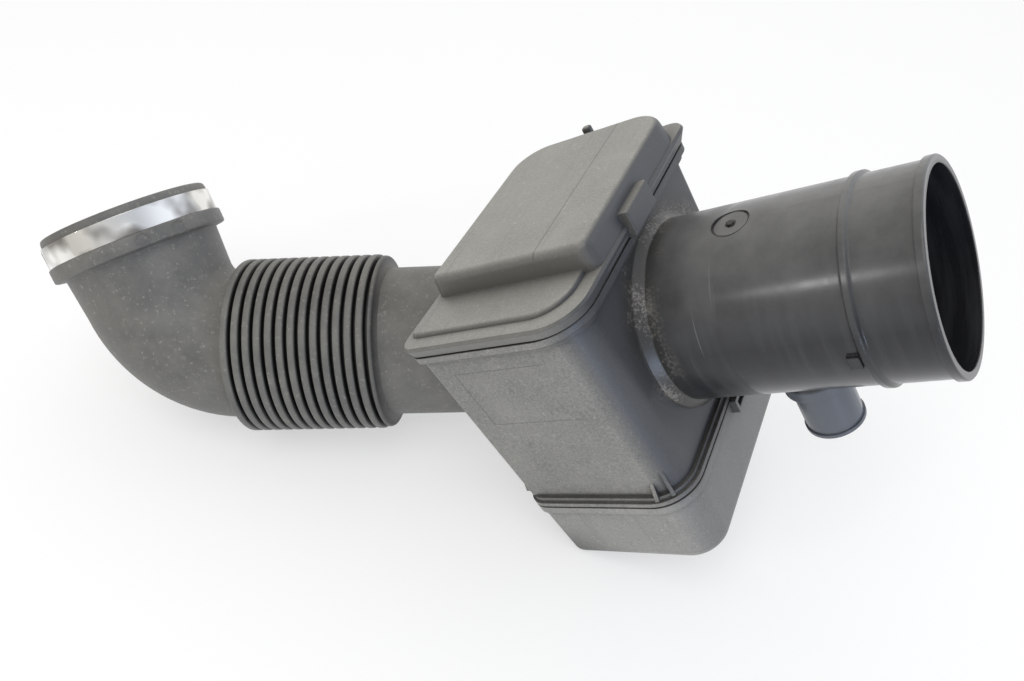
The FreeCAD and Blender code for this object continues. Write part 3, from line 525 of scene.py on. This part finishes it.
# Band clamp: a bright rolled stainless strip round the mouth, locked by a low buckle. It is slightly
# wavy, so its reflections break into pale and dark patches; darker patches painted on it are partly
# smudges and partly painted reflection.
STEEL_BRIGHT, STEEL_SMUDGE_AND_REFLECTION = "#efede8", "#8b8782"
STEEL_EDGE_R = 0.0003
WAVE_DEPTH = 0.006
clamp_steel, tree, output = blank_material("Rolled stainless strip, bright and smudged")
own = duct_place(tree)
waves = add(tree, "TexNoise", {"Vector": own, "Scale": 1 / 0.032, "Detail": 0.0})
smudge = add(tree, "TexNoise", {"Vector": own, "Scale": 1 / 0.019, "Detail": 1.5, "Roughness": 0.5})
# Darker patches: partly smudges, partly painted reflection.
smudge_and_reflection_patches = add(tree, "MapRange", {"Value": smudge.outputs["Fac"], "From Min": 0.44, "From Max": 0.62})
colour = add(tree, "Mix", {0: smudge_and_reflection_patches.outputs["Result"], 6: linear(STEEL_BRIGHT), 7: linear(STEEL_SMUDGE_AND_REFLECTION)},
             data_type="RGBA")
rough = add(tree, "MapRange", {"Value": smudge.outputs["Fac"],
                               "From Min": 0.3, "From Max": 0.7, "To Min": 0.08, "To Max": 0.2})
edges = add(tree, "Bevel", {"Radius": STEEL_EDGE_R}, samples=4)
bump = add(tree, "Bump", {"Height": waves.outputs["Fac"], "Strength": 0.6, "Distance": WAVE_DEPTH,
                          "Normal": edges.outputs["Normal"]})
shader = add(tree, "BsdfPrincipled", {"Base Color": colour.outputs[2], "Metallic": 1.0,
                                      "Roughness": rough.outputs["Result"], "Normal": bump.outputs["Normal"]})
tree.links.new(shader.outputs["BSDF"], output.inputs["Surface"])
dress("clamp_band", clamp_steel)
dress("clamp_buckle", clamp_steel)

# Floor: a wide sheet of white paper. The camera and mirrors see it lit up to nearly white, with
# the duct's soft shadow kept; what light it throws back is that of plain paper.
FLOOR_SIZE = 60.0
PAPER_WHITE, GLOW_WHITE = "#fbfbf9", "#ffffff"
GLOW_SHARE = 0.5
floor_mesh = bpy.data.meshes.new("floor")
shape = bmesh.new()
bmesh.ops.create_grid(shape, x_segments=1, y_segments=1, size=FLOOR_SIZE / 2)
shape.to_mesh(floor_mesh)
shape.free()
floor = bpy.data.objects.new("floor", floor_mesh)
bpy.context.scene.collection.objects.link(floor)
paper, tree, output = blank_material("White paper sweep")
rays = add(tree, "LightPath")
seen = add(tree, "Math", {0: rays.outputs["Is Camera Ray"], 1: rays.outputs["Is Glossy Ray"]},
           operation="MAXIMUM")
seen = add(tree, "Math", {0: seen.outputs["Value"], 1: rays.outputs["Is Transmission Ray"]},
           operation="MAXIMUM")
share = add(tree, "Math", {0: seen.outputs["Value"], 1: GLOW_SHARE}, operation="MULTIPLY")
matt = add(tree, "BsdfDiffuse", {"Color": linear(PAPER_WHITE)})
glow = add(tree, "Emission", {"Color": linear(GLOW_WHITE), "Strength": 1.0})
both = add(tree, "MixShader", {0: share.outputs["Value"], 1: matt.outputs["BSDF"],
                               2: glow.outputs["Emission"]})
tree.links.new(both.outputs["Shader"], output.inputs["Surface"])
floor_mesh.materials.append(paper)

# Light: a room that is bright behind the duct, as a white backdrop makes it, and dimmer behind the
# camera and on the left. A broad soft lamp hangs overhead, a small one on the left draws the line
# along the pipe, and a cold one stands on the right, as a window would.
ROOM_FRONT, ROOM_BACK, ROOM_LEFT_SHARE = 0.7, 1.2, 0.75
ROOM_WARM, ROOM_COLD = "#fffdf9", "#ecf3ff"
world = bpy.data.worlds.new("Room with a bright backdrop")
bpy.context.scene.world = world
world.use_nodes = True
tree = world.node_tree
room = tree.nodes["Background"]
towards = add(tree, "SeparateXYZ", {"Vector": add(tree, "TexCoord").outputs["Generated"]})
backdrop = add(tree, "MapRange", {"Value": towards.outputs["Y"],
                                  "From Min": -0.35, "From Max": 0.55, "To Min": ROOM_FRONT,
                                  "To Max": ROOM_BACK}, interpolation_type="SMOOTHSTEP")
dim_left = add(tree, "MapRange", {"Value": towards.outputs["X"],
                                  "From Min": -0.95, "From Max": -0.2, "To Min": ROOM_LEFT_SHARE})
strength = add(tree, "Math", {0: backdrop.outputs["Result"], 1: dim_left.outputs["Result"]},
               operation="MULTIPLY")
tree.links.new(strength.outputs["Value"], room.inputs["Strength"])
from_right = add(tree, "MapRange", {"Value": towards.outputs["X"], "From Min": -0.2, "From Max": 0.6})
tint = add(tree, "Mix", {0: from_right.outputs["Result"], 6: linear(ROOM_WARM), 7: linear(ROOM_COLD)},
           data_type="RGBA")
tree.links.new(tint.outputs[2], room.inputs["Color"])


def lamp(name, place, aim, size, power, colour="#ffffff"):
    """A round soft lamp, aimed at a place. The camera doesn't see the lamp itself."""
    light = bpy.data.lights.new(name, "AREA")
    light.shape = "DISK"
    light.size = size
    light.energy = power
    light.color = linear(colour)[:3]
    holder = bpy.data.objects.new(name, light)
    holder.location = place
    holder.rotation_euler = (Vector(aim) - Vector(place)).to_track_quat("-Z", "Y").to_euler()
    holder.visible_camera = False
    bpy.context.scene.collection.objects.link(holder)


lamp("Broad lamp overhead", place=(0.05, -0.6, 1.55), aim=(0, 0, 0.1), size=1.1, power=7)
lamp("Small lamp on the left", place=(-0.58, -0.86, 0.62), aim=(0.15, 0, 0.2), size=0.1, power=0.8)
lamp("Window on the right", place=(1.15, -0.75, 0.17), aim=(0.1, 0, 0.15), size=0.3, power=3.5,
     colour="#cfe0ff")

# Camera: where the photograph was taken from, found from the box's edges and the pipe's round rim.
CAMERA_PLACE = Vector((0.158085, -0.289821, 0.434980))
CAMERA_FORWARD = Vector((-0.267142, 0.61604, -0.741033))
CAMERA_UP = Vector((-0.313190, 0.671732, 0.671333))
SENSOR_WIDTH = 36.0
FOCAL_PIXELS, PHOTO_PIXELS = 850.82, 1024
camera = bpy.data.objects.new("camera", bpy.data.cameras.new("camera"))
camera.data.sensor_width = SENSOR_WIDTH
camera.data.lens = FOCAL_PIXELS / PHOTO_PIXELS * SENSOR_WIDTH
camera.data.clip_start = 0.01
right = CAMERA_FORWARD.cross(CAMERA_UP).normalized()
above = right.cross(CAMERA_FORWARD).normalized()
turn = Matrix((right, above, -CAMERA_FORWARD.normalized())).transposed()
camera.matrix_world = Matrix.Translation(CAMERA_PLACE) @ turn.to_4x4()
bpy.context.scene.collection.objects.link(camera)
bpy.context.scene.camera = camera
bpy.context.scene.view_settings.view_transform = "Standard"
